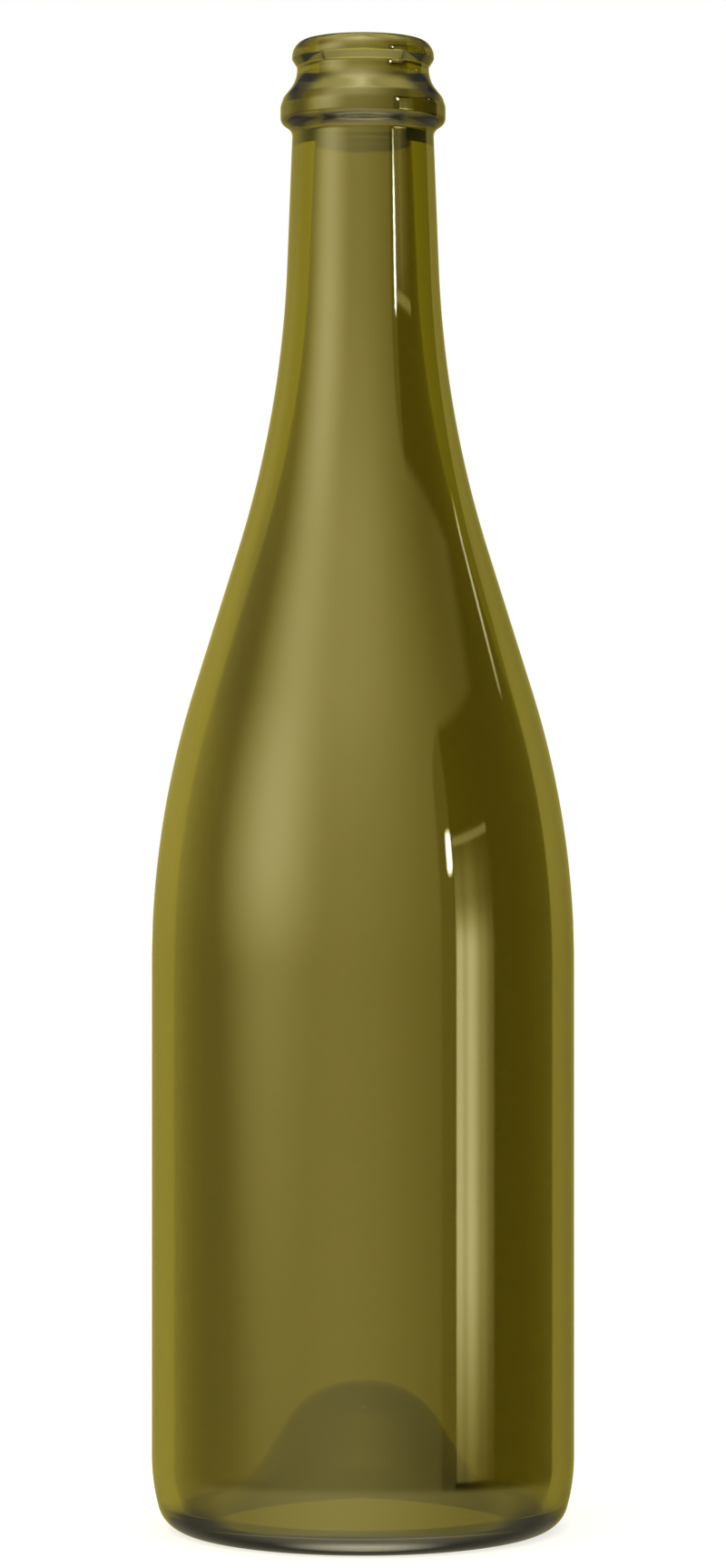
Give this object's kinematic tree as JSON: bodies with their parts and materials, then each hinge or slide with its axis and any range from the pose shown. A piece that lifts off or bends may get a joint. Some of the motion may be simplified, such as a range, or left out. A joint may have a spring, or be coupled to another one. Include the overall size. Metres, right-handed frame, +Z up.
{
  "type": "champagne bottle",
  "caption": "Empty sparkling-wine bottle in olive-green glass, with a crown-cap lip, a wire-cage collar, sloping shoulders and a deep punt.",
  "frame": {"origin": "centre of the base, on the surface that the bottle stands on", "axes": "+Z up along the bottle's axis, towards the mouth; the shape is the same all the way round"},
  "size_m": [0.085, 0.085, 0.299],
  "materials": {
    "green_glass": "clear, glossy olive-green bottle glass"
  },
  "bodies": {
    "root": {"crown_lip": "green_glass", "wire_collar": "green_glass", "neck": "green_glass", "neck_sweep": "green_glass", "shoulder": "green_glass", "body": "green_glass", "heel": "green_glass", "punt": "green_glass"}
  },
  "joints": []
}
